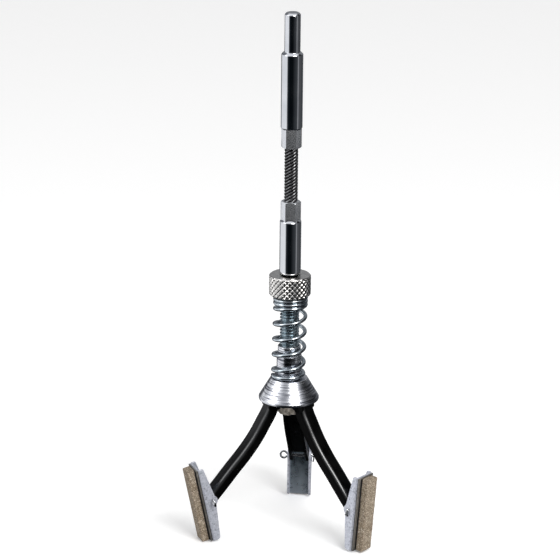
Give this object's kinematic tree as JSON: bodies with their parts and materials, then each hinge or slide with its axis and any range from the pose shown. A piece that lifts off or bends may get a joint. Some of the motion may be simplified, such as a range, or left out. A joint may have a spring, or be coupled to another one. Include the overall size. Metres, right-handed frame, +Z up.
{
  "type": "three-leg bore hone",
  "caption": "Spring-loaded bore hone: a flexible drive shaft, knurled tension nut and spreader cone over hinged legs carrying swivelling abrasive stones.",
  "frame": {"origin": "on the tool's axis, at the level its shoes stand on", "axes": "+Z up the tool's axis toward the drive shank, leg 1 lies along +Y, legs 2 and 3 follow at 120 degree steps counter-clockwise seen from above"},
  "size_m": [0.0755, 0.0657, 0.2056],
  "materials": {
    "chromed_steel": "bright plated, polished",
    "knurled_steel": "bright plated, diamond knurled side, turned faces",
    "zinc_plated_thread": "bluish zinc plate on a cut thread",
    "spring_steel_plated": "bright zinc plated round wire",
    "turned_steel": "bright turned, fine lathe marks",
    "diecast_metal": "dull warm grey casting",
    "black_paint": "satin black enamel on pressed sheet",
    "black_oxide_wire": "oiled black wound wire",
    "zinc_plated_sheet": "bluish-white zinc plate on pressed sheet",
    "abrasive_stone": "matte bonded tan grit",
    "pin_steel": "plain drawn wire"
  },
  "bodies": {
    "rod": {"threaded_rod": "zinc_plated_thread", "lower_ferrule": "chromed_steel", "spider": "diecast_metal", "arm_pin_1": "pin_steel", "arm_pin_2": "pin_steel", "arm_pin_3": "pin_steel"},
    "cone": {"spreader_cone": "turned_steel"},
    "spring_seat": {"spring": "spring_steel_plated"},
    "nut": {"adjusting_nut": "knurled_steel"},
    "flex": {"flex_core": "black_oxide_wire", "flex_winding": "black_oxide_wire"},
    "shank": {"drive_shank": "chromed_steel"},
    "arm_1": {"arm_1": "black_paint"},
    "shoe_1": {"shoe_1": "zinc_plated_sheet", "backing_plate_1": "zinc_plated_sheet", "stone_1": "abrasive_stone", "split_pin_1": "pin_steel"},
    "arm_2": {"arm_2": "black_paint"},
    "shoe_2": {"shoe_2": "zinc_plated_sheet", "backing_plate_2": "zinc_plated_sheet", "stone_2": "abrasive_stone", "split_pin_2": "pin_steel"},
    "arm_3": {"arm_3": "black_paint"},
    "shoe_3": {"shoe_3": "zinc_plated_sheet", "backing_plate_3": "zinc_plated_sheet", "stone_3": "abrasive_stone", "split_pin_3": "pin_steel"}
  },
  "joints": [
    {"name": "arm_1_swing", "type": "hinge", "parent": "rod", "child": "arm_1", "pos_m": [0, 0.0058, 0.0544], "axis": [-1, 0, 0], "range_deg": [0, 24], "stiffness_Nm_per_rad": 0.5, "springref_deg": -11.46},
    {"name": "shoe_1_tilt", "type": "hinge", "parent": "arm_1", "child": "shoe_1", "pos_m": [0, 0.033, 0.0172], "axis": [-1, 0, 0], "range_deg": [-42, 15]},
    {"name": "arm_2_swing", "type": "hinge", "parent": "rod", "child": "arm_2", "pos_m": [-0.00502, -0.0029, 0.0544], "axis": [0.5, -0.866, 0], "range_deg": [0, 24]},
    {"name": "shoe_2_tilt", "type": "hinge", "parent": "arm_2", "child": "shoe_2", "pos_m": [-0.02858, -0.0165, 0.0172], "axis": [0.5, -0.866, 0], "range_deg": [-46, 15]},
    {"name": "arm_3_swing", "type": "hinge", "parent": "rod", "child": "arm_3", "pos_m": [0.00502, -0.0029, 0.0544], "axis": [0.5, 0.866, 0], "range_deg": [0, 24]},
    {"name": "shoe_3_tilt", "type": "hinge", "parent": "arm_3", "child": "shoe_3", "pos_m": [0.02858, -0.0165, 0.0172], "axis": [0.5, 0.866, 0], "range_deg": [-38, 15]},
    {"name": "cone_slide", "type": "slide", "parent": "rod", "child": "cone", "axis": [0, 0, 1], "range_m": [0, 0.0042], "deforming": ["spring"]},
    {"name": "nut_travel", "type": "slide", "parent": "rod", "child": "spring_seat", "axis": [0, 0, -1], "range_m": [0, 0.01], "deforming": ["spring"]},
    {"name": "nut_turn", "type": "hinge", "parent": "spring_seat", "child": "nut", "pos_m": [0, 0, 0.1], "axis": [0, 0, -1], "range_deg": [-5, 2890]},
    {"name": "shaft_bend_side", "type": "hinge", "parent": "rod", "child": "flex", "pos_m": [0, 0, 0.1434], "axis": [0, 1, 0], "range_deg": [-20, 20], "stiffness_Nm_per_rad": 1, "deforming": ["flex_winding", "flex_core"]},
    {"name": "shaft_bend_forward", "type": "hinge", "parent": "flex", "child": "shank", "pos_m": [0, 0, 0.1434], "axis": [1, 0, 0], "range_deg": [-20, 20], "stiffness_Nm_per_rad": 1}
  ],
  "couplings": [
    {"joint": "arm_2_swing", "follows": "arm_1_swing", "ratio": 1},
    {"joint": "arm_3_swing", "follows": "arm_1_swing", "ratio": 1},
    {"joint": "cone_slide", "follows": "arm_1_swing", "m_per_rad": 0.0096},
    {"joint": "nut_turn", "follows": "nut_travel", "rad_per_m": 5026.5}
  ]
}
